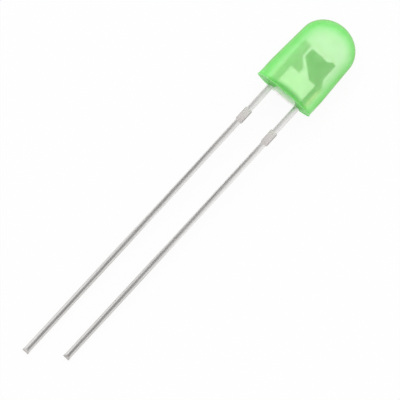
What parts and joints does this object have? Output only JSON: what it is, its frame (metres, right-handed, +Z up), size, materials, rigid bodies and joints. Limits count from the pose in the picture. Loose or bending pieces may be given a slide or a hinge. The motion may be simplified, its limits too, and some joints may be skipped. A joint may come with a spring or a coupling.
{
  "type": "through hole led",
  "caption": "Round through hole LED: a flangeless diffused green resin body on long parallel tinned leads with stand-offs, the anode longer than the cathode.",
  "frame": {"origin": "on the table, under the middle of the LED's overall length, as it lies at rest on the rim of its base and its lead ends", "axes": "+X along the table from the lead ends towards the dome, +Y towards the side of the longer lead, the anode, +Z up from the table"},
  "size_m": [0.0338, 0.005, 0.0052],
  "materials": {
    "diffused_resin": "glossy cast epoxy, tinted green and clouded by a diffusing powder",
    "tinned_lead": "bright tin coat on stamped steel, dull and mottled on the stand-offs",
    "die": "clear sapphire with a thin grown layer on top",
    "die_attach": "cured pale adhesive",
    "gold_wire": "bright drawn gold"
  },
  "bodies": {
    "root": {"lens_body": "diffused_resin", "anode_lead": "tinned_lead", "cathode_lead": "tinned_lead", "led_die": "die", "die_attach": "die_attach", "anode_bond_wire": "gold_wire", "cathode_bond_wire": "gold_wire"}
  },
  "joints": []
}
